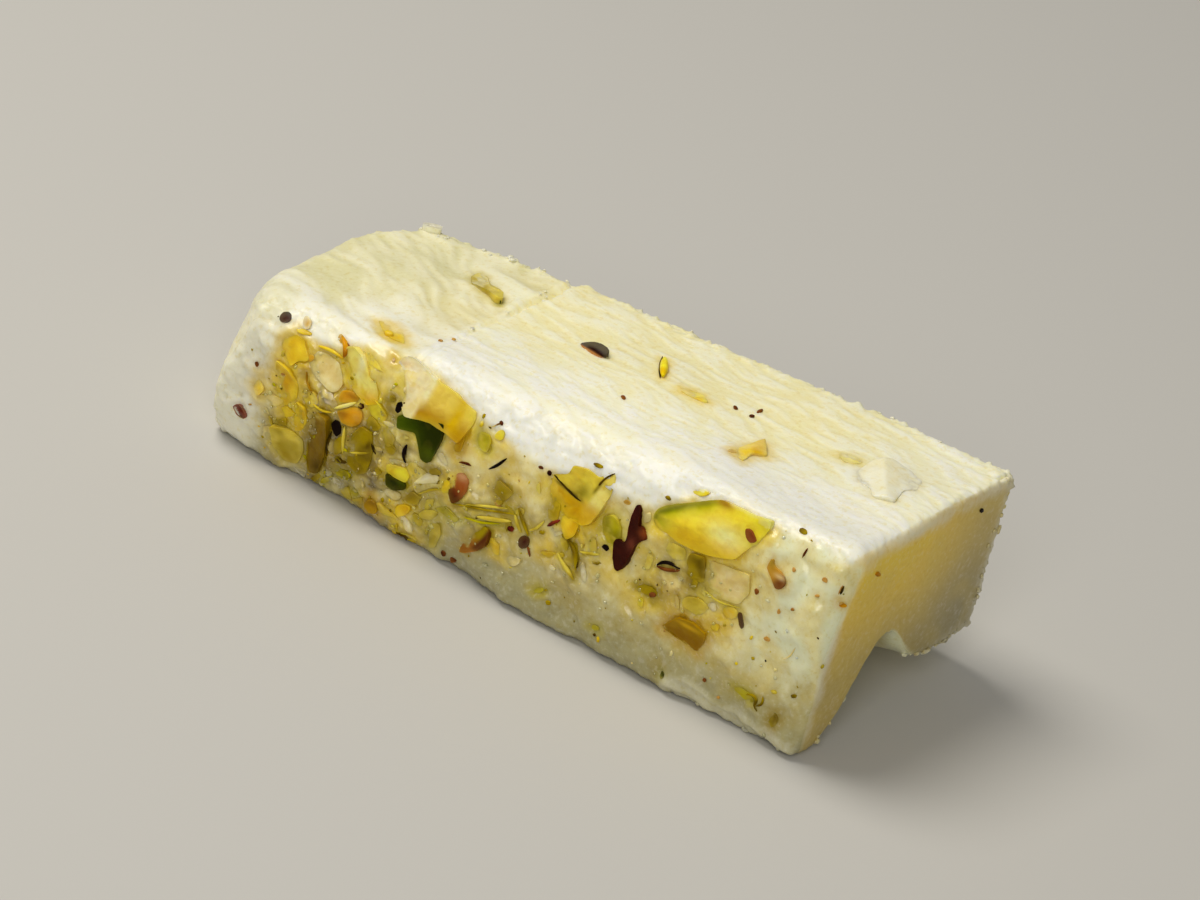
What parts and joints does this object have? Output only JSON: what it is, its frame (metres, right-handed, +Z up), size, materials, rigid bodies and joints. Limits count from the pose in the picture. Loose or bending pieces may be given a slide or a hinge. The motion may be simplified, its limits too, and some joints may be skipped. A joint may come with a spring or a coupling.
{
  "type": "barfi bar",
  "caption": "Cut bar of pale milk barfi lying on a cut side, one long face studded with chopped pistachio.",
  "frame": {"origin": "under the middle of the whole piece, on the surface that the bar lies on", "axes": "+X along the bar towards its thicker end, the studded face towards -Y, +Z up out of the upper cut side"},
  "size_m": [0.0768, 0.0334, 0.024],
  "materials": {
    "milk_fudge": "soft cut milk fudge",
    "pistachio_yellow": "moist nut",
    "pistachio_green": "moist nut rim",
    "pistachio_amber": "moist nut, seen through",
    "nut_skin": "dry papery skin"
  },
  "bodies": {
    "root": {"barfi_bar": "milk_fudge", "nut_sliver": "pistachio_yellow", "nut_chunk_pale": "pistachio_yellow", "nut_chunk_yellow": "pistachio_yellow", "nut_chunk_faceted": "pistachio_yellow", "nut_chip_green": "pistachio_green", "nut_chip_amber": "pistachio_amber", "nut_chunk_olive": "pistachio_amber", "skin_flake_maroon": "nut_skin"}
  },
  "joints": []
}
